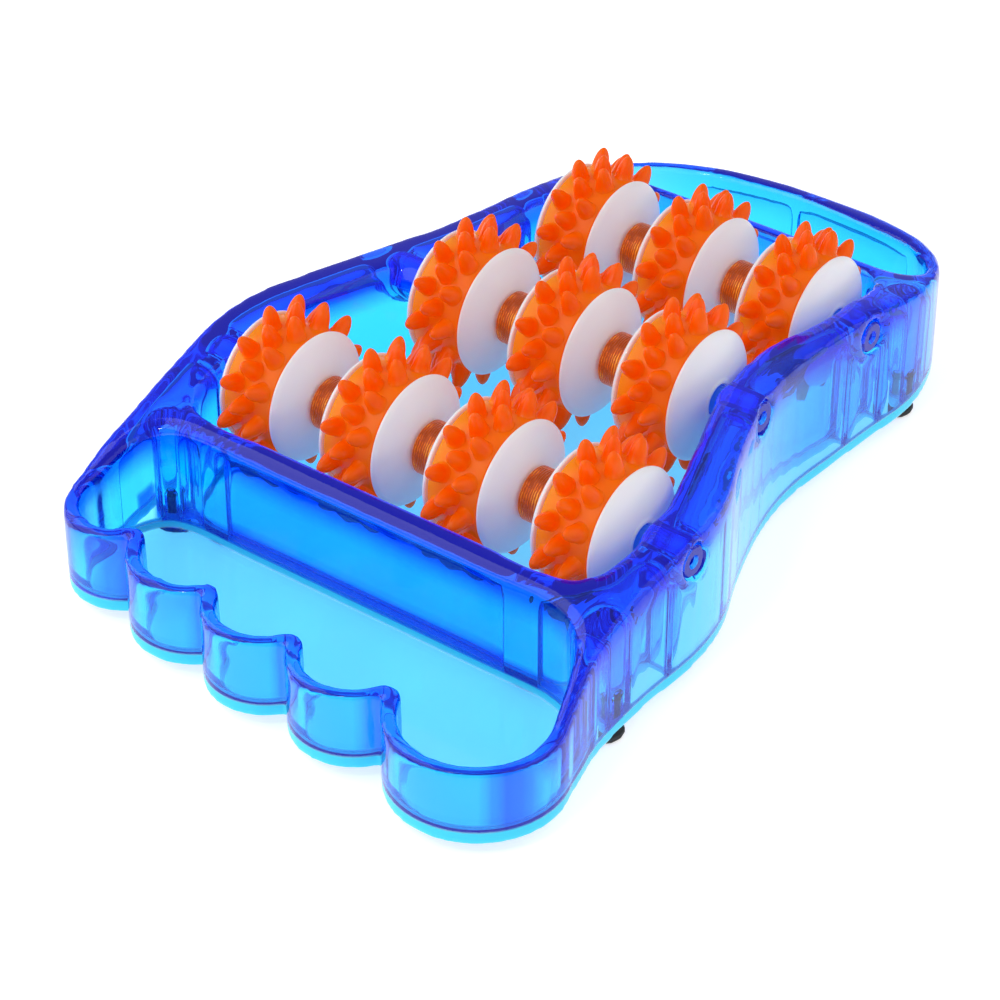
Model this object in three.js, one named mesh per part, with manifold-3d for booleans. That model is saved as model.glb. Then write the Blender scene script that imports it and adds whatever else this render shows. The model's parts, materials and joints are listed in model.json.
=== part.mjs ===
// Foot massage roller: a sandal-shaped tray of clear blue plastic with ten
// spiked massage wheels turning on three axle rods.
// Millimetres, +Z up, toes toward -Y, heel toward +Y.
// Plan sizes below are given from the middle of the front axle.
import * as THREE from 'three';
import * as BufferGeometryUtils from 'three/addons/utils/BufferGeometryUtils.js';
import Module from 'manifold-3d';

const wasm = await Module();
wasm.setup();

// ---------------------------------------------------------------- driving dimensions
const BASE_Z = 3.8;            // bottom edge of the tray above the table
const FLOOR_TOP = 6.2;         // top of the tray floor
const SKIN = 2.6;              // wall thickness of the hollow rails
const TOP_SKIN = 4.2;          // thicker along the top of the rails
const TOE_WALL = 4.3;          // solid wall round the toes
const RIM_CLEAR = 80;          // height above everything, for cutting tools

const ROD_R = 4.65;            // axle rod
const BORE_R = 4.75;           // wheel, spacer and tray bores
const WHEEL_PITCH = 36;        // along an axle
const DISC_R = 19;             // white wheel halves
const RIM_X = 8.55;            // inner face of a wheel half, from the wheel's middle
const HUB_X = 13.3;            // outer face of a wheel half
const HUB_TUBE_R = 7.6;        // tube on each half that carries the sleeve
const SLEEVE_R = 18.5;         // soft sleeve, without its spikes
const SPIKE_TIP_R = 25.3;      // spike tips
const SPIKES_ROUND = 12;       // spikes in one ring
const SPIKE_STEP_X = 4.5;      // between neighbouring rings of spikes
const GAP = 0.3;               // air between pieces that touch
const RIB = 1.8;               // cross ribs inside the rails
const TUBE_R = 6.7;            // bearing tubes that hold the rod ends
const SPACER_R = 7.8;

const FOOT_HEAD_R = 5.2;
const FOOT_STEM_R = 2.6;
const FOOT_STEM_TOP = 15;
const COLUMN_R = 5.4;          // tray columns that hold the feet

// Rows of wheels: rod position, rod ends, boss faces, wheel centres, how far the spikes are
// turned, and the sides of the rod that have a rib.
const AXLES = [
  { row: 'front', y: 0, z: 38.0, left: -82.2, right: 83.0, bossLeft: -68.5, bossRight: 68.5,
    wheels: [-1.5, -0.5, 0.5, 1.5], turn: 5, ribs: [-1] },
  { row: 'middle', y: 59.8, z: 43.6, left: -67.0, right: 63.6, bossLeft: -50.4, bossRight: 50.4,
    wheels: [-1, 0, 1], turn: -5, ribs: [] },
  { row: 'back', y: 119.4, z: 39.3, left: -58.0, right: 61.2, bossLeft: -50.4, bossRight: 50.4,
    wheels: [-1, 0, 1], turn: 9, ribs: [-1, 1] },
];

// Outer wall of the tray, from the big toe round the heel to the little toe.
const OUTER_RIGHT = [
  [92, -68], [88.9, -56], [86, -45.8], [83.9, -23], [83.8, 2], [80.6, 18.5], [72, 38.3], [63.9, 61.8],
  [60.6, 81.6], [61.2, 103], [61.7, 120], [62.8, 138], [60.5, 153], [53.4, 169.5], [42.4, 178.8],
  [26, 183.9], [5, 185.2],
];
const OUTER_LEFT = [
  [-14.4, 184.0], [-33.9, 178.6], [-49.2, 167.7], [-58.2, 154], [-61.6, 140], [-61.8, 122],
  [-63.6, 103], [-66.3, 81], [-72.6, 57.2], [-78.9, 37.9], [-85.2, 20], [-86.7, 4],
  [-83.9, -14.6], [-80.4, -37.1], [-78.6, -50.7], [-76.7, -62],
];
// Scallops round the toes: centre x, centre y, radius.
const TOES = [
  [-60.7, -61.3, 16.1], [-31.1, -65.3, 18.5], [-1.3, -70.7, 17.3],
  [29.8, -72.3, 17.9], [68.4, -71.4, 24.1],
];
// Well for the wheels, and the shallow places for toes and heel.
const BAY_WELL = [
  [-60, -28.5], [-30, -28.5], [30, -28.5], [60, -28.5], [68.2, -24.5], [70.6, -12], [69.9, 3], [66.2, 16],
  [59.5, 34.6], [53, 52], [49.4, 67], [47.6, 84], [49.9, 99], [51.6, 114], [50.6, 130],
  [46.5, 142.5], [39, 145.7], [15, 145.8],
  [-15, 145.8], [-39, 145.7], [-46.5, 142.5], [-50.9, 130],
  [-52.2, 113], [-51.6, 97], [-53.4, 81], [-58.8, 58], [-65, 38], [-70.4, 20], [-71.5, 4],
  [-70.4, -12], [-67.8, -24.5],
];
const HEEL_WELL = [
  [-49, 152.2], [-20, 152], [20, 152], [49, 152.2], [54.2, 157], [50, 166], [37, 173.6], [21.4, 175.8],
  [-2, 177.6], [-16, 175.8], [-34.2, 170.8], [-48, 162], [-54, 156],
];
const TOE_WELL_BACK = [
  [87.6, -68], [84.4, -57], [79, -46], [73, -39.6], [64, -36.2], [40, -36.1], [0, -36.1],
  [-40, -36.1], [-60, -36.2], [-67, -38.6], [-71, -46], [-72.1, -60],
];
// Top edge of the tray, seen from the side: y, height at the left, height at the right.
const RIM = [
  [-110, 30.2, 26.0], [-76, 30.2, 26.4], [-67, 30.5, 27.8], [-60, 32.3, 32.1], [-50, 36, 36],
  [-38, 38.9, 38.9], [-25, 41.7, 41.7], [-12, 43.9, 43.9], [0, 45.6, 45.6], [15, 47.8, 47.8],
  [30, 49.2, 49.2], [50, 49.9, 49.9], [70, 49.6, 49.6], [90, 48.8, 48.8], [110, 48.0, 48.0],
  [122, 47.2, 47.2], [130, 45.8, 45.8], [140, 43.9, 43.9], [150, 42.2, 42.2], [170, 39.2, 39.2],
  [200, 35.0, 35.0],
];
const FEET = [
  { place: 'front_left', x: -71, y: -31.5 }, { place: 'front_right', x: 79, y: -32 },
  { place: 'back_right', x: 56.4, y: 144.5 }, { place: 'back_left', x: -55.4, y: 144.5 },
];

// ---------------------------------------------------------------- geometry helpers
function solid(geometry) {
  const bare = geometry.clone();
  bare.deleteAttribute('normal');
  bare.deleteAttribute('uv');
  const merged = BufferGeometryUtils.mergeVertices(bare, 1e-4);
  const mesh = new wasm.Mesh({
    numProp: 3,
    vertProperties: new Float32Array(merged.attributes.position.array),
    triVerts: new Uint32Array(merged.index.array),
  });
  return new wasm.Manifold(mesh);
}

function geometryOf(manifold) {
  const mesh = manifold.getMesh();
  const geometry = new THREE.BufferGeometry();
  geometry.setAttribute('position', new THREE.BufferAttribute(mesh.vertProperties, 3));
  geometry.setIndex(new THREE.BufferAttribute(mesh.triVerts, 1));
  geometry.computeVertexNormals();
  return geometry;
}

const unite = (solids) => wasm.Manifold.union(solids);

// Smooth curve through the given points, closed or open.
function smooth(points, count, closed) {
  const corners = points.map(([x, y]) => new THREE.Vector3(x, y, 0));
  const curve = new THREE.CatmullRomCurve3(corners, closed, 'centripetal');
  const steps = closed ? count : count - 1;
  return curve.getSpacedPoints(steps).slice(0, count).map((p) => [p.x, p.y]);
}

// An anticlockwise curve moved inward by a distance.
function inset(curve, distance, closed) {
  const n = curve.length;
  return curve.map(([x, y], i) => {
    const [ax, ay] = curve[i > 0 ? i - 1 : closed * (n - 1)];
    const [bx, by] = curve[i < n - 1 ? i + 1 : (1 - closed) * (n - 1)];
    const length = Math.hypot(bx - ax, by - ay);
    return [x - (distance * (by - ay)) / length, y + (distance * (bx - ax)) / length];
  });
}

function prism(outline, z0, z1) {
  const shape = new THREE.Shape(outline.map(([x, y]) => new THREE.Vector2(x, y)));
  const geometry = new THREE.ExtrudeGeometry(shape, { depth: z1 - z0, bevelEnabled: false });
  return solid(geometry.translate(0, 0, z0));
}

function pillar(x, y, radius, z0, z1, sides = 24) {
  const geometry = new THREE.CylinderGeometry(radius, radius, z1 - z0, sides);
  return solid(geometry.rotateX(Math.PI / 2).translate(x, y, (z0 + z1) / 2));
}

// Round bar along X.
function bar(x0, x1, y, z, radius, sides = 24) {
  const geometry = new THREE.CylinderGeometry(radius, radius, x1 - x0, sides);
  return solid(geometry.rotateZ(Math.PI / 2).translate((x0 + x1) / 2, y, z));
}

function block(x0, x1, y0, y1, z0, z1) {
  const geometry = new THREE.BoxGeometry(x1 - x0, y1 - y0, z1 - z0);
  return solid(geometry.translate((x0 + x1) / 2, (y0 + y1) / 2, (z0 + z1) / 2));
}

// ---------------------------------------------------------------- tray
// Everything above the top edge, lowered by a distance.
function aboveRim(lowered) {
  const curve = (side) => new THREE.CatmullRomCurve3(
    RIM.map((row) => new THREE.Vector3(0, row[0], row[side])), false, 'centripetal');
  const steps = 36;
  const left = curve(1).getSpacedPoints(steps);
  const right = curve(2).getSpacedPoints(steps);
  const positions = [];
  const index = [];
  for (let i = 0; i <= steps; i += 1) {
    positions.push(-110, left[i].y, left[i].z - lowered, 110, left[i].y, right[i].z - lowered);
    positions.push(110, left[i].y, RIM_CLEAR, -110, left[i].y, RIM_CLEAR);
  }
  const quad = (a, b, c, d) => index.push(a, b, c, a, c, d);
  for (let i = 0; i < steps; i += 1) {
    for (let k = 0; k < 4; k += 1) {
      const next = (k + 1) % 4;
      quad(4 * i + k, 4 * i + 4 + k, 4 * i + 4 + next, 4 * i + next);
    }
  }
  quad(0, 1, 2, 3);
  quad(4 * steps + 3, 4 * steps + 2, 4 * steps + 1, 4 * steps);
  const geometry = new THREE.BufferGeometry();
  geometry.setAttribute('position', new THREE.Float32BufferAttribute(positions, 3));
  geometry.setIndex(index);
  return solid(geometry);
}

// Lowest crossing point of two neighbouring scallops.
function notch([x1, y1, r1], [x2, y2, r2]) {
  const d = Math.hypot(x2 - x1, y2 - y1);
  const along = (d * d + r1 * r1 - r2 * r2) / (2 * d);
  const out = Math.sqrt(r1 * r1 - along * along);
  const [ux, uy] = [(x2 - x1) / d, (y2 - y1) / d];
  return [x1 + along * ux + out * uy, y1 + along * uy - out * ux];
}

const neighbours = (visit) => TOES.slice(1).map((toe, i) => visit(TOES[i], toe));

// A curve that ends at the outer toes is closed through the middles of all the toes.
const closeAtToes = (curve) => [...curve, ...TOES.map(([x, y]) => [x, y])];

function sole() {
  const sides = smooth([...OUTER_RIGHT, ...OUTER_LEFT], 124, false);
  return unite([
    prism(closeAtToes(sides), BASE_Z, 60),
    ...TOES.map(([x, y, r]) => pillar(x, y, r, BASE_Z, 60, 36)),
  ]);
}

function toeWell(z0, grow) {
  const wall = TOE_WALL - grow;
  const lobes = unite([
    prism(closeAtToes(inset(smooth(TOE_WELL_BACK, 60, false), -grow, false)), z0, 60),
    ...TOES.map(([x, y, r]) => pillar(x, y, r - wall, z0, 60, 32)),
    ...neighbours((a, b) => prism([[a[0], a[1]], notch(a, b), [b[0], b[1]]], z0, 60)),
  ]);
  const cusps = neighbours((a, b) => pillar(...notch(a, b), wall, z0 - 1, 61, 24));
  return lobes.subtract(unite(cusps));
}

function well(outline, z0, grow, count) {
  return prism(inset(smooth(outline, count, true), -grow, true), z0, 60);
}

// Space under the rails and cross walls: the tray is an inverted U there.
function underside() {
  const sides = smooth([...OUTER_RIGHT, ...OUTER_LEFT], 76, false);
  const wells = unite([
    toeWell(BASE_Z - 2, SKIN),
    well(BAY_WELL, BASE_Z - 2, SKIN, 60),
    well(HEEL_WELL, BASE_Z - 2, SKIN, 40),
    block(-95, 95, -110, -56, BASE_Z - 2, 60),
  ]);
  const inside = prism(closeAtToes(inset(sides, SKIN, false)), BASE_Z - 1, 60);
  return inside.subtract(wells).subtract(aboveRim(TOP_SKIN));
}

// Bearing tubes across the rails, and the thin ribs inside the rails beside them.
function bearings(axle, envelope) {
  const { y, z, bossLeft, bossRight, ribs } = axle;
  const tubes = [
    bar(bossRight, 95, y, z, TUBE_R, 32),
    bar(-100, bossLeft, y, z, TUBE_R, 32),
  ];
  const plates = ribs.flatMap((side) => {
    const middle = y + side * (TUBE_R + RIB);
    return [
      block(bossRight + SKIN, 95, middle - RIB / 2, middle + RIB / 2, FLOOR_TOP, 60),
      block(-100, bossLeft - SKIN, middle - RIB / 2, middle + RIB / 2, FLOOR_TOP, 60),
    ];
  });
  return unite([...tubes, ...plates]).intersect(envelope);
}

function tray() {
  const envelope = sole().subtract(aboveRim(0));
  const wells = unite([
    toeWell(FLOOR_TOP, 0),
    well(BAY_WELL, FLOOR_TOP, 0, 96),
    well(HEEL_WELL, FLOOR_TOP, 0, 48),
  ]);
  const shell = envelope.subtract(wells).subtract(underside());
  const bearingParts = AXLES.map((axle) => bearings(axle, envelope.subtract(unite([
    block(axle.bossLeft, axle.bossRight, -60, 180, 0, 60)]))));
  const columns = FEET.map(({ x, y }) => pillar(x, y, COLUMN_R, BASE_Z, 46, 16));
  const stems = FEET.map(({ x, y }) =>
    pillar(x, y, FOOT_STEM_R + GAP, 0, FOOT_STEM_TOP + GAP, 12));
  const bores = AXLES.map(({ left, right, y, z }) =>
    bar(left - GAP, right + 12, y, z, BORE_R + 0.2, 24));
  return unite([shell, ...bearingParts, unite(columns).intersect(envelope)])
    .subtract(unite([...stems, ...bores]));
}

// ---------------------------------------------------------------- turned pieces
// Lathe profile of [radius, distance along X] pairs, turned about the X axis.
function turned(profile, segments) {
  const points = profile.map(([r, x]) => new THREE.Vector2(r, x));
  return new THREE.LatheGeometry(points, segments).rotateZ(-Math.PI / 2);
}

function closedRing(profile, segments) {
  return geometryOf(solid(turned([...profile, profile[0]], segments)));
}

function wheelHalf(side) {
  const profile = [[BORE_R, GAP / 2], [HUB_TUBE_R, GAP / 2], [HUB_TUBE_R, RIM_X],
    [DISC_R, RIM_X], [DISC_R - 0.2, RIM_X + 1.2], [13, 11.9], [6.6, HUB_X], [BORE_R, HUB_X]];
  const geometry = closedRing(profile, 18);
  return side > 0 ? geometry : geometry.rotateY(Math.PI);
}

function spikedSleeve() {
  const half = RIM_X - GAP;
  const sleeve = solid(closedRing([[HUB_TUBE_R + GAP, -half], [SLEEVE_R, -half],
    [SLEEVE_R, half], [HUB_TUBE_R + GAP, half]], 16));
  const spikes = [];
  for (const column of [-1, 0, 1]) {
    for (let i = 0; i < SPIKES_ROUND; i += 1) {
      const length = SPIKE_TIP_R - SLEEVE_R + 1;
      const cone = new THREE.CylinderGeometry(1.3, 2.8, length, 4);
      cone.translate(0, SPIKE_TIP_R - length / 2, 0);
      cone.rotateX(((i + (column ? 0 : 0.5)) * 2 * Math.PI) / SPIKES_ROUND);
      spikes.push(solid(cone.translate(column * SPIKE_STEP_X, 0, 0)));
    }
  }
  return geometryOf(unite([sleeve, ...spikes]));
}

function spacerTube(length) {
  const half = length / 2;
  return closedRing([[BORE_R, -half], [SPACER_R, -half], [SPACER_R, half], [BORE_R, half]], 24);
}

// Rod with a domed left end, and a right end with a small round recess.
function rod(length) {
  const profile = [[0, 0], [ROD_R * 0.6, 0.5], [ROD_R, 2.2], [ROD_R, length - 0.5],
    [ROD_R - 0.5, length], [2, length], [1.4, length - 1], [0, length - 1]];
  return geometryOf(solid(turned(profile, 24)));
}

function rubberFoot() {
  const profile = [[0, 0], [FOOT_HEAD_R - 1, 0], [FOOT_HEAD_R, 1.2], [FOOT_HEAD_R, 2.4],
    [FOOT_HEAD_R - 1.2, BASE_Z - GAP], [FOOT_STEM_R, BASE_Z - GAP],
    [FOOT_STEM_R, FOOT_STEM_TOP - 1], [FOOT_STEM_R - 1, FOOT_STEM_TOP], [0, FOOT_STEM_TOP]];
  const points = profile.map(([r, z]) => new THREE.Vector2(r, z));
  return new THREE.LatheGeometry(points, 12).rotateX(Math.PI / 2);
}

// ---------------------------------------------------------------- assembly
const material = (color, roughness, opacity = 1) => new THREE.MeshStandardMaterial({
  color, roughness, metalness: 0, opacity, transparent: opacity < 1,
});
const CLEAR_BLUE = material(0x0a6cf0, 0.1, 0.6);
const ROD_BLUE = material(0x0a3cd8, 0.12, 0.7);
const WHITE = material(0xe9e5ef, 0.3);
const ORANGE = material(0xff6a08, 0.4);
const AMBER = material(0xb04a10, 0.2);
const BLACK = material(0x17171a, 0.8);

const group = new THREE.Group();
group.name = 'foot_massage_roller';

function add(name, geometry, look, x = 0, y = 0, z = 0) {
  const mesh = new THREE.Mesh(geometry, look);
  mesh.name = name;
  mesh.position.set(x, y, z);
  group.add(mesh);
  return mesh;
}

add('foot_tray', geometryOf(tray()), CLEAR_BLUE);

for (const axle of AXLES) {
  const { row, y, z, left, right, wheels, turn } = axle;
  add(`axle_${row}`, rod(right - left), ROD_BLUE, left, y, z);
  wheels.forEach((place, i) => {
    const name = `wheel_${row[0]}${i + 1}`;
    const x = place * WHEEL_PITCH;
    add(`${name}_disc_left`, wheelHalf(-1), WHITE, x, y, z);
    add(`${name}_disc_right`, wheelHalf(1), WHITE, x, y, z);
    const sleeve = add(`${name}_spikes`, spikedSleeve(), ORANGE, x, y, z);
    sleeve.rotation.x = THREE.MathUtils.degToRad(turn);
    if (i > 0) {
      const length = WHEEL_PITCH - 2 * HUB_X - 2 * GAP;
      add(`spacer_${row[0]}${i}`, spacerTube(length), AMBER, x - WHEEL_PITCH / 2, y, z);
    }
  });
}

for (const { place, x, y } of FEET) {
  add(`foot_${place}`, rubberFoot(), BLACK, x, y, 0);
}

// The origin is the middle of the underside, in plan.
const middle = new THREE.Box3().setFromObject(group).getCenter(new THREE.Vector3());
group.children.forEach((mesh) => mesh.position.sub(new THREE.Vector3(middle.x, middle.y, 0)));

export default group;
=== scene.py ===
"""Foot massage roller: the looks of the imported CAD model, in metres and in its frame."""

import json
import math

import bmesh
import bpy
import numpy as np
from mathutils import Matrix, Vector


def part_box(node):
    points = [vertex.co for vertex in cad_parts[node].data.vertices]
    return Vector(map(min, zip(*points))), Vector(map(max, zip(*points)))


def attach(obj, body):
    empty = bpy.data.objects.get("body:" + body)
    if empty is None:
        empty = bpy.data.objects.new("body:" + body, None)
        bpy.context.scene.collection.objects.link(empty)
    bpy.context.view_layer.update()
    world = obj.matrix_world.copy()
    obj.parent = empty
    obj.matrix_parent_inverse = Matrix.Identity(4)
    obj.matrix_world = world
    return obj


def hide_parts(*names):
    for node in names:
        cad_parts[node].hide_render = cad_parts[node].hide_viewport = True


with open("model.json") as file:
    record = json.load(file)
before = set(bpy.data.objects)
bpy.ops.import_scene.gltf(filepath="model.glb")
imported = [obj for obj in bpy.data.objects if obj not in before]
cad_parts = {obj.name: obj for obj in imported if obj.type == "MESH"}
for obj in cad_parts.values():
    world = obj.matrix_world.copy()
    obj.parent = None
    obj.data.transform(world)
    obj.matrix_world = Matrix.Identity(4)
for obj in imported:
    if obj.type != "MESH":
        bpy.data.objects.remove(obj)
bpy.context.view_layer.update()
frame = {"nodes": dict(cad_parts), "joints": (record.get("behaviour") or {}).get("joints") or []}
MM = 0.001

# Sizes that the pieces share with the CAD model.
ROD_R = 4.65 * MM
BORE_R = 4.75 * MM
DISC_R = 19 * MM
RIM_X = 8.55 * MM
HUB_X = 13.3 * MM
HUB_TUBE_R = 7.6 * MM
SLEEVE_R = 18.5 * MM
SPIKE_TIP_R = 25.3 * MM
SPIKES_ROUND = 12
SPIKE_STEP_X = 4.5 * MM
SPIKE_R = 2.6 * MM
SPACER_R = 7.8 * MM
GAP = 0.3 * MM
# How far the spikes of the front, middle and back row are turned, in degrees.
TURN = {"f": 5, "m": -5, "b": 9}
# Shape of a wheel half outside its rim: the lip, the dome on it, and the dome's inner edge.
LIP_R = 0.5 * MM
LIP = 0.9 * MM
DOME = 3.85 * MM
DOME_INNER_R = 6.2 * MM
# Height of the tray's top edge along its length, toes to heel.
RIM_Y = [y * MM for y in (-141, -112, -105, -95, -83, -70, -57, -45, -30, -15, 5, 45, 77,
                          95, 125, 141)]
RIM_Z = [z * MM for z in (27, 29, 32, 36, 39, 41.7, 43.9, 45.6, 47.8, 49.2, 49.9, 48.8, 47.2,
                          43.9, 39.2, 37.2)]
# The cusps between the toes lie along a line: y + CUSP_SLANT * x = CUSP_LINE.
CUSP_SLANT = 0.088
CUSP_LINE = -121 * MM
# Front face of the wall behind the toes.
TOE_WALL_Y = -80.9 * MM
# The tray's new mesh: size of its even faces, and rounds of smoothing.
TRAY_VOXEL = 0.9 * MM
TRAY_ROUNDS = 30


# ---------------------------------------------------------------- material helpers
class Nodes:
    """A material's node tree, with short calls for adding and joining nodes."""

    def __init__(self, name):
        self.material = bpy.data.materials.new(name)
        self.material.use_nodes = True
        self.tree = self.material.node_tree
        self.shader = self.tree.nodes["Principled BSDF"]
        self.output = self.tree.nodes["Material Output"]

    def add(self, kind, **inputs):
        node = self.tree.nodes.new("ShaderNode" + kind)
        for key, value in inputs.items():
            node.inputs[key.replace("_", " ")].default_value = value
        return node

    def join(self, source, target):
        self.tree.links.new(source, target)

    def set(self, **inputs):
        for key, value in inputs.items():
            self.shader.inputs[key.replace("_", " ")].default_value = value

    def place(self):
        return self.add("TexCoord").outputs["Object"]

    def noise(self, scale, detail=4.0, roughness=0.5):
        node = self.add("TexNoise", Scale=scale, Detail=detail, Roughness=roughness)
        self.join(self.place(), node.inputs["Vector"])
        return node.outputs["Fac"]

    def ramp(self, source, stops):
        node = self.add("ValToRGB")
        elements = node.color_ramp.elements
        while len(elements) < len(stops):
            elements.new(0.5)
        for element, (position, color) in zip(elements, stops):
            element.position = position
            element.color = color
        self.join(source, node.inputs["Fac"])
        return node.outputs["Color"]

    def spread(self, source, low, high, start=0.0, end=1.0):
        node = self.add("MapRange", From_Min=start, From_Max=end, To_Min=low, To_Max=high)
        self.join(source, node.inputs["Value"])
        return node.outputs["Result"]

    def steps(self, source, stops):
        """A value that follows (place, value) stops along a length."""
        first, last = stops[0][0], stops[-1][0]
        along = self.spread(source, 0.0, 1.0, first, last)
        shares = [((place - first) / (last - first), grey(value)) for place, value in stops]
        return self.ramp(along, shares)

    def math(self, operation, *sources):
        node = self.add("Math")
        node.operation = operation
        for source, socket in zip(sources, node.inputs):
            self.join(source, socket)
        return node.outputs["Value"]

    def axes(self, vector):
        node = self.add("SeparateXYZ")
        self.join(vector, node.inputs["Vector"])
        return node.outputs["X"], node.outputs["Y"], node.outputs["Z"]

    def mix(self, share, first, second):
        node = self.tree.nodes.new("ShaderNodeMix")
        node.data_type = "RGBA"
        self.join(share, node.inputs["Factor"])
        for source, name in ((first, "A"), (second, "B")):
            socket = [i for i in node.inputs if i.name == name and i.type == "RGBA"][0]
            if isinstance(source, tuple):
                socket.default_value = source
            else:
                self.join(source, socket)
        return [o for o in node.outputs if o.type == "RGBA"][0]

    def bump(self, source, strength, distance):
        node = self.add("Bump", Strength=strength, Distance=distance)
        self.join(source, node.inputs["Height"])
        self.join(node.outputs["Normal"], self.shader.inputs["Normal"])

    def absorb(self, color, density):
        node = self.add("VolumeAbsorption", Color=color, Density=density)
        self.join(node.outputs["Volume"], self.output.inputs["Volume"])


def grey(value):
    return (value, value, value, 1.0)


def clear_plastic(name, absorb_color, density):
    """Tinted clear moulding: pale where thin, deep where light runs far inside it."""
    n = Nodes(name)
    n.set(Transmission_Weight=1.0, IOR=1.46, Specular_IOR_Level=0.12)
    # Painted light: a faint blue glow, as emission, stands in for light carried along inside the
    # plastic.
    n.set(Emission_Color=(0.0, 0.02, 1.0, 1.0), Emission_Strength=0.06)
    n.join(n.spread(n.noise(900, 6.0, 0.6), 0.01, 0.06), n.shader.inputs["Roughness"])
    n.bump(n.noise(55, 2.0), 0.07, 1.2 * MM)
    n.absorb(absorb_color, density)
    return n


def rod_plastic():
    n = clear_plastic("rod_blue", (0.0, 0.8, 0.995, 1), 300.0)
    tint = n.ramp(n.noise(40), [(0.3, (0.75, 0.95, 1.0, 1)), (0.7, (0.7, 0.93, 1.0, 1))])
    n.join(tint, n.shader.inputs["Base Color"])
    return n.material


def rail_top_shade(n, y, z):
    """Mask of a painted shade: 1 along the top of the rails and cross walls, and less round the
    heel; 0 lower down and round the toes."""
    rim = n.steps(y, list(zip(RIM_Y, RIM_Z)))
    near_top = n.spread(n.math("SUBTRACT", z, rim), 0.0, 1.0, -13 * MM, -5 * MM)
    rails = n.steps(y, [(-127 * MM, 0), (-115.6 * MM, 1), (84.6 * MM, 1), (107.2 * MM, 0.2)])
    return n.math("MULTIPLY", near_top, rails)


def cusp_shade(n, x, y, z):
    """Mask of a painted shade: 1 in the cusps between the toes, above the floor."""
    slant = n.add("Value")
    slant.outputs["Value"].default_value = CUSP_SLANT
    line = n.math("ADD", y, n.math("MULTIPLY", x, slant.outputs["Value"]))
    reach = [(-4, 0), (-1.4, 0.9), (5, 0.8), (11, 0)]
    cusps = n.steps(line, [(CUSP_LINE + place * MM, value) for place, value in reach])
    above_floor = n.steps(z, [(7 * MM, 0), (8.5 * MM, 1)])
    return n.math("MULTIPLY", cusps, above_floor)


def toe_wall_foot_shade(n, y, z):
    """Mask of a painted shade: 1 at the foot of the wall behind the toes."""
    foot = n.steps(z, [(6.5 * MM, 0), (7.5 * MM, 1), (12 * MM, 1), (13.5 * MM, 0)])
    reach = [(-4.3, 0), (-3.1, 1), (4.2, 1), (5.3, 0)]
    at_wall = n.steps(y, [(TOE_WALL_Y + place * MM, value) for place, value in reach])
    return n.math("MULTIPLY", foot, at_wall)


def tray_plastic():
    """Clear blue, with a painted shade of deep blue along the rails' tops, in the cusps and at
    the toe wall's foot. Painted light: where the floor's edge meets the walls it is made a
    mostly opaque, pale diffuse cyan band that looks lit."""
    n = clear_plastic("clear_blue", (0.0, 0.87, 0.999, 1), 320.0)
    x, y, z = n.axes(n.place())
    pale = n.ramp(n.noise(40), [(0.3, (0.52, 0.95, 1.0, 1)), (0.7, (0.48, 0.92, 1.0, 1))])
    # Painted shade: a deep blue tint along the rails' tops, in the cusps and at the toe wall's
    # foot.
    low_shade = n.math("MAXIMUM", cusp_shade(n, x, y, z), toe_wall_foot_shade(n, y, z))
    deep = n.math("MAXIMUM", rail_top_shade(n, y, z), low_shade)
    tint = n.mix(deep, pale, (0.02, 0.17, 0.9, 1))
    # Painted light: steep faces at the floor's edge get a pale diffuse cyan and less
    # transmission, a band that looks lit.
    lean = n.math("ABSOLUTE", n.axes(n.add("NewGeometry").outputs["Normal"])[2])
    steep = n.spread(lean, 1.0, 0.0, 0.75, 0.95)
    base = n.steps(z, [(3.5 * MM, 0), (4 * MM, 1), (7.75 * MM, 1), (8.5 * MM, 0)])
    lit_floor_edge = n.math("MULTIPLY", base, steep)
    tint = n.mix(lit_floor_edge, tint, (0.07, 0.78, 0.98, 1))
    n.join(tint, n.shader.inputs["Base Color"])
    n.join(n.spread(lit_floor_edge, 1.0, 0.1), n.shader.inputs["Transmission Weight"])
    return n.material


def white_plastic():
    n = Nodes("white_plastic")
    n.set(Subsurface_Weight=0.25, Subsurface_Scale=2 * MM, Coat_Weight=0.15)
    # Painted light: a faint white glow, as emission, brightens the discs.
    n.set(Emission_Color=(0.95, 0.9, 1.0, 1.0), Emission_Strength=0.07)
    shade = n.ramp(n.noise(70), [(0.3, (0.87, 0.87, 0.91, 1)), (0.7, (0.91, 0.91, 0.95, 1))])
    n.join(shade, n.shader.inputs["Base Color"])
    n.join(n.spread(n.noise(500), 0.3, 0.42), n.shader.inputs["Roughness"])
    n.bump(n.noise(2500), 0.04, 0.05 * MM)
    return n.material


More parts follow.
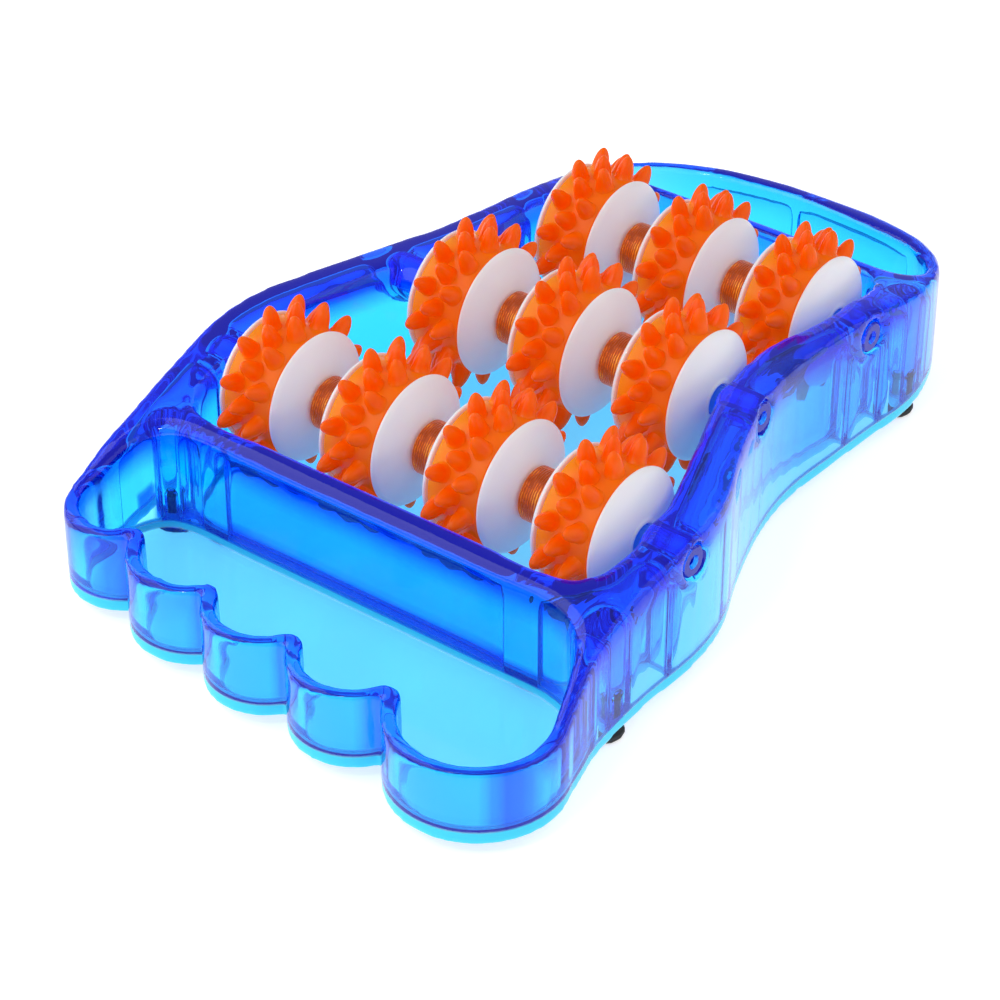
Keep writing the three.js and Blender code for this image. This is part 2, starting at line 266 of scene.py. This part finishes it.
def orange_rubber():
    """Soft clear orange: paler between the spikes; a painted golden glow toward the sleeve's
    left edge, and a faint painted orange glow over it all.
    """
    n = Nodes("orange_rubber")
    n.set(Subsurface_Weight=0.6, Subsurface_Scale=4 * MM, Subsurface_Radius=(1.0, 0.3, 0.03))
    n.set(Transmission_Weight=0.2, IOR=1.4, Specular_IOR_Level=0.25)
    # Painted light: a faint orange glow, as emission, stands in for light shining through the
    # rubber.
    n.set(Emission_Color=(1.0, 0.16, 0.0, 1.0), Emission_Strength=0.11)
    x, y, z = n.axes(n.place())
    radius = n.math("SQRT", n.math("ADD", n.math("MULTIPLY", y, y), n.math("MULTIPLY", z, z)))
    spikes = n.spread(radius, 0.0, 1.0, SLEEVE_R, SLEEVE_R + 2 * MM)
    # Painted light: the sleeve's body turns golden toward its left edge, a painted glow.
    body = n.ramp(n.spread(x, 0.0, 1.0, -RIM_X, RIM_X),
                  [(0.0, (1.0, 0.38, 0.004, 1)), (0.4, (1.0, 0.2, 0.004, 1))])
    tone = n.ramp(n.noise(90), [(0.3, (1.0, 0.12, 0.0, 1)), (0.7, (1.0, 0.16, 0.0, 1))])
    n.join(n.mix(spikes, body, tone), n.shader.inputs["Base Color"])
    n.join(n.spread(n.noise(700), 0.16, 0.28), n.shader.inputs["Roughness"])
    n.bump(n.noise(1500), 0.02, 0.05 * MM)
    return n.material


def amber_plastic():
    """Clear amber tube with fine turned rings; bright highlights are painted into its colour
    along the rings, broken into patches, and a faint orange glow is painted on.
    """
    n = Nodes("amber_plastic")
    n.set(Metallic=0.6, Coat_Weight=0.2, Coat_Roughness=0.06)
    # Painted light: an orange glow, as emission.
    n.set(Emission_Color=(1.0, 0.15, 0.0, 1.0), Emission_Strength=0.22)
    rings = n.add("TexWave", Scale=420.0, Distortion=3.0, Detail=3.0, Detail_Scale=2.0)
    rings.bands_direction = "X"
    n.join(n.place(), rings.inputs["Vector"])
    # Painted highlights: bright orange along the rings, broken into patches, between dark amber.
    patches = n.spread(n.noise(170, 3.0, 0.6), 0.0, 1.0, 0.35, 0.65)
    painted_streaks = n.math("MULTIPLY", rings.outputs["Fac"], patches)
    stops = [(0.05, (0.22, 0.02, 0.0, 1)), (0.35, (0.7, 0.11, 0.003, 1)),
             (0.8, (1.0, 0.45, 0.04, 1))]
    n.join(n.ramp(painted_streaks, stops), n.shader.inputs["Base Color"])
    n.join(n.spread(n.noise(600), 0.14, 0.3), n.shader.inputs["Roughness"])
    n.bump(rings.outputs["Fac"], 0.7, 0.25 * MM)
    return n.material


def black_rubber():
    n = Nodes("black_rubber")
    shade = n.ramp(n.noise(300), [(0.3, grey(0.012)), (0.7, grey(0.03))])
    n.join(shade, n.shader.inputs["Base Color"])
    n.join(n.spread(n.noise(400), 0.6, 0.85), n.shader.inputs["Roughness"])
    n.bump(n.noise(1800), 0.3, 0.1 * MM)
    return n.material


def pale_floor():
    n = Nodes("pale_floor")
    shade = n.ramp(n.noise(3), [(0.3, grey(0.9)), (0.7, grey(0.92))])
    n.join(shade, n.shader.inputs["Base Color"])
    n.set(Roughness=0.9, Emission_Color=(1.0, 1.0, 1.0, 1.0), Emission_Strength=0.62)
    return n.material


# ---------------------------------------------------------------- mesh helpers
def turned(profile, segments, closed=True):
    """Faces and points of a profile of (radius, x) pairs turned about the X axis."""
    count = len(profile)
    points = []
    for i in range(segments):
        angle = 2 * math.pi * i / segments
        for r, x in profile:
            points.append(Vector((x, r * math.cos(angle), r * math.sin(angle))))
    faces = []
    for i in range(segments):
        j = (i + 1) % segments
        for k in range(count if closed else count - 1):
            m = (k + 1) % count
            faces.append((i * count + k, i * count + m, j * count + m, j * count + k))
    return points, faces


def mesh_from(name, chunks):
    """One mesh from several (points, faces) chunks, smooth, with its faces outward."""
    mesh = bpy.data.meshes.new(name)
    points = []
    faces = []
    for chunk_points, chunk_faces in chunks:
        start = len(points)
        points.extend(chunk_points)
        faces.extend([tuple(start + i for i in face) for face in chunk_faces])
    mesh.from_pydata(points, [], faces)
    work = bmesh.new()
    work.from_mesh(mesh)
    bmesh.ops.remove_doubles(work, verts=work.verts, dist=1e-7)
    bmesh.ops.recalc_face_normals(work, faces=work.faces)
    work.to_mesh(mesh)
    work.free()
    mesh.shade_smooth()
    return mesh


def sharpen(mesh, degrees):
    """Keeps edges sharper than an angle crisp."""
    work = bmesh.new()
    work.from_mesh(mesh)
    for edge in work.edges:
        edge.smooth = edge.calc_face_angle(0.0) < math.radians(degrees)
    work.to_mesh(mesh)
    work.free()


def arc(centre, radius, start, end, steps):
    """Points of an arc, in degrees, in a profile's (radius, x) plane."""
    result = []
    for i in range(steps + 1):
        a = math.radians(start + (end - start) * i / steps)
        result.append((centre[0] + radius * math.cos(a), centre[1] + radius * math.sin(a)))
    return result


# ---------------------------------------------------------------- wheel pieces
def wheel_half_mesh():
    """Right half: hub tube, flat inner face, rounded rim and a shallow dome."""
    profile = [(BORE_R, GAP / 2), (HUB_TUBE_R, GAP / 2), (HUB_TUBE_R, RIM_X)]
    profile += [(DISC_R - LIP_R, RIM_X)]
    profile += arc((DISC_R - LIP_R, RIM_X + LIP_R), LIP_R, -60, 60, 6)
    for i in range(1, 25):
        r = (DISC_R - LIP_R / 2) * (1 - i / 24) + DOME_INNER_R * i / 24
        rise = (1 - (r / DISC_R) ** 2) ** 0.75
        profile.append((r, RIM_X + LIP + DOME * rise))
    profile += [(5.9 * MM, HUB_X - 0.05 * MM), (BORE_R + 0.2 * MM, HUB_X - 0.05 * MM)]
    profile += [(BORE_R, HUB_X - 0.3 * MM)]
    mesh = mesh_from("wheel_half", [turned(profile, 128)])
    sharpen(mesh, 50)
    return mesh


def spike(column, angle):
    """One blunt spike that grows out of the sleeve on a small fillet."""
    base = SLEEVE_R - 0.25 * MM
    height = SPIKE_TIP_R - base
    profile = [(SPIKE_R + 0.5 * MM, base - 0.2 * MM), (SPIKE_R + 0.2 * MM, base + 0.3 * MM)]
    for i in range(2, 16):
        t = math.sin(math.pi / 2 * i / 16)
        profile.append((SPIKE_R * (1 - t ** 2.2) ** 0.55, base + height * t))
    points, faces = turned(profile, 24, closed=False)
    count = len(profile)
    faces.append(tuple(i * count + count - 1 for i in range(24)))
    turn = Matrix.Rotation(angle, 4, "X")
    upright = Matrix.Rotation(math.pi / 2, 4, "Z")
    shift = Matrix.Translation((column * SPIKE_STEP_X, 0, 0))
    return [shift @ turn @ upright @ p for p in points], faces


def sleeve_mesh(turn):
    """A sleeve with its three rings of spikes turned by an angle."""
    half = RIM_X - GAP
    edge = 0.6 * MM
    profile = [(HUB_TUBE_R + GAP, -half), (SLEEVE_R - edge, -half)]
    profile += arc((SLEEVE_R - edge, -half + edge), edge, -80, -10, 4)
    profile += arc((SLEEVE_R - edge, half - edge), edge, 10, 80, 4)
    profile += [(SLEEVE_R - edge, half), (HUB_TUBE_R + GAP, half)]
    chunks = [turned(profile, 120)]
    for column in (-1, 0, 1):
        for i in range(SPIKES_ROUND):
            place = i if column else i + 0.5
            chunks.append(spike(column, turn + 2 * math.pi * place / SPIKES_ROUND))
    mesh = mesh_from("sleeve", chunks)
    sharpen(mesh, 60)
    return mesh


def spacer_mesh(length):
    half = length / 2
    edge = 0.4 * MM
    profile = [(BORE_R, -half), (SPACER_R - edge, -half), (SPACER_R, -half + edge)]
    profile += [(SPACER_R, half - edge), (SPACER_R - edge, half), (BORE_R, half)]
    mesh = mesh_from("spacer", [turned(profile, 96)])
    sharpen(mesh, 30)
    return mesh


# ---------------------------------------------------------------- assembly
def add_piece(name, mesh, material, place, node, body, flip=False):
    piece = bpy.data.objects.new(name, mesh)
    bpy.context.scene.collection.objects.link(piece)
    rotation = Matrix.Rotation(math.pi if flip else 0.0, 4, "Z")
    piece.matrix_world = Matrix.Translation(place) @ rotation
    if not mesh.materials:
        mesh.materials.append(material)
    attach(piece, body)
    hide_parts(node)
    return piece


def joint_places():
    """Every turning body's place, from its joint."""
    places = {}
    for joint in frame["joints"]:
        places[joint["child"]] = Vector(joint["pos_m"])
    return places


def build_wheels(places):
    half = wheel_half_mesh()
    sleeves = {row: sleeve_mesh(math.radians(turn)) for row, turn in TURN.items()}
    white = white_plastic()
    orange = orange_rubber()
    for body, place in places.items():
        if not body.startswith("wheel"):
            continue
        row = body[6]
        add_piece(body + "_left_half", half, white, place, body + "_disc_left", body, flip=True)
        add_piece(body + "_right_half", half, white, place, body + "_disc_right", body)
        add_piece(body + "_sleeve", sleeves[row], orange, place, body + "_spikes", body)


def build_spacers(places):
    low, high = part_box("spacer_f1")
    mesh = spacer_mesh(high[0] - low[0])
    amber = amber_plastic()
    for body, place in places.items():
        if body.startswith("spacer"):
            add_piece(body + "_tube", mesh, amber, place, body, body)


def dress(node, material):
    obj = frame["nodes"][node]
    obj.data.materials.clear()
    obj.data.materials.append(material)
    return obj


def even_copy(node, voxel):
    """The node's shape as a new mesh of small even faces."""
    source = frame["nodes"][node]
    remesh = source.modifiers.new("even_faces", "REMESH")
    remesh.mode = "VOXEL"
    remesh.voxel_size = voxel
    state = bpy.context.evaluated_depsgraph_get()
    mesh = bpy.data.meshes.new_from_object(source.evaluated_get(state), depsgraph=state)
    source.modifiers.remove(remesh)
    return mesh


def roundness(points):
    """How much each point of the tray is rounded: most along the top of the rails and
    cross walls, less round the toes, and least below."""
    top = np.interp(points[:, 1], RIM_Y, RIM_Z)
    near_top = np.clip((9 * MM - top + points[:, 2]) / (4 * MM), 0, 1)
    rails = np.interp(points[:, 1], (-100 * MM, -84 * MM), (0.4, 0.9))
    return 0.15 + (rails - 0.15) * near_top


def relax(mesh, rounds):
    """Smooths a mesh of even faces, each point by its own share."""
    count = len(mesh.vertices)
    points = np.empty(count * 3)
    mesh.vertices.foreach_get("co", points)
    points = points.reshape(count, 3)
    ends = np.empty(len(mesh.edges) * 2, dtype=np.int64)
    mesh.edges.foreach_get("vertices", ends)
    a, b = ends.reshape(-1, 2).T
    near = np.bincount(a, minlength=count) + np.bincount(b, minlength=count)
    share = 0.5 * roundness(points)[:, None]
    for _ in range(rounds):
        total = np.empty_like(points)
        for axis in range(3):
            total[:, axis] = (np.bincount(a, points[b, axis], count)
                              + np.bincount(b, points[a, axis], count))
        points += share * (total / near[:, None] - points)
    mesh.vertices.foreach_set("co", points.ravel())
    mesh.update()


def build_tray():
    """Rounds every edge of the moulding and gives it its clear blue plastic."""
    mesh = even_copy("foot_tray", TRAY_VOXEL)
    relax(mesh, TRAY_ROUNDS)
    mesh.materials.clear()
    mesh.shade_smooth()
    add_piece("tray_moulding", mesh, tray_plastic(), Vector(), "foot_tray", "tray")


def finish_rods():
    rod_blue = rod_plastic()
    for row in ("front", "middle", "back"):
        rod = dress("axle_" + row, rod_blue)
        rod.modifiers.new("round_edges", "BEVEL").width = 0.3 * MM


def finish_feet():
    rubber = black_rubber()
    for node in frame["nodes"]:
        if node.startswith("foot_") and node != "foot_tray":
            foot = dress(node, rubber)
            foot.data.shade_smooth()


# ---------------------------------------------------------------- stage
def build_floor():
    mesh = bpy.data.meshes.new("floor")
    mesh.from_pydata([(-6, -6, 0), (6, -6, 0), (6, 6, 0), (-6, 6, 0)], [], [(0, 1, 2, 3)])
    mesh.materials.append(pale_floor())
    floor = bpy.data.objects.new("floor", mesh)
    bpy.context.scene.collection.objects.link(floor)


def add_softbox(name, place, size, power):
    light = bpy.data.lights.new(name, "AREA")
    light.shape = "RECTANGLE"
    light.size = size[0]
    light.size_y = size[1]
    light.energy = power
    lamp = bpy.data.objects.new(name, light)
    lamp.location = place
    lamp.rotation_euler = (-Vector(place)).to_track_quat("-Z", "Y").to_euler()
    bpy.context.scene.collection.objects.link(lamp)


def build_light():
    world = bpy.data.worlds.new("studio")
    world.use_nodes = True
    background = world.node_tree.nodes["Background"]
    background.inputs["Color"].default_value = (1.0, 1.0, 1.0, 1.0)
    background.inputs["Strength"].default_value = 0.4
    bpy.context.scene.world = world
    add_softbox("key", (-0.9, -0.7, 0.9), (2.0, 1.6), 13.0)
    add_softbox("fill", (0.9, 0.4, 0.8), (1.5, 1.4), 4.0)
    add_softbox("glint", (0.1, -0.8, 1.1), (0.12, 0.12), 1.2)


def build_camera():
    camera = bpy.data.cameras.new("camera")
    camera.lens = 113.08
    camera.sensor_width = 36.0
    camera.clip_start = 0.01
    view = bpy.data.objects.new("camera", camera)
    view.location = (0.4428, -0.5916, 0.5083)
    view.rotation_euler = (math.radians(90 - 34.578), 0.0, math.radians(37.907))
    bpy.context.scene.collection.objects.link(view)
    bpy.context.scene.camera = view


places = joint_places()
build_wheels(places)
build_spacers(places)
build_tray()
finish_rods()
finish_feet()
build_floor()
build_light()
build_camera()
bpy.context.scene.view_settings.view_transform = "Standard"
bpy.context.scene.cycles.max_bounces = 32
bpy.context.scene.cycles.transmission_bounces = 32
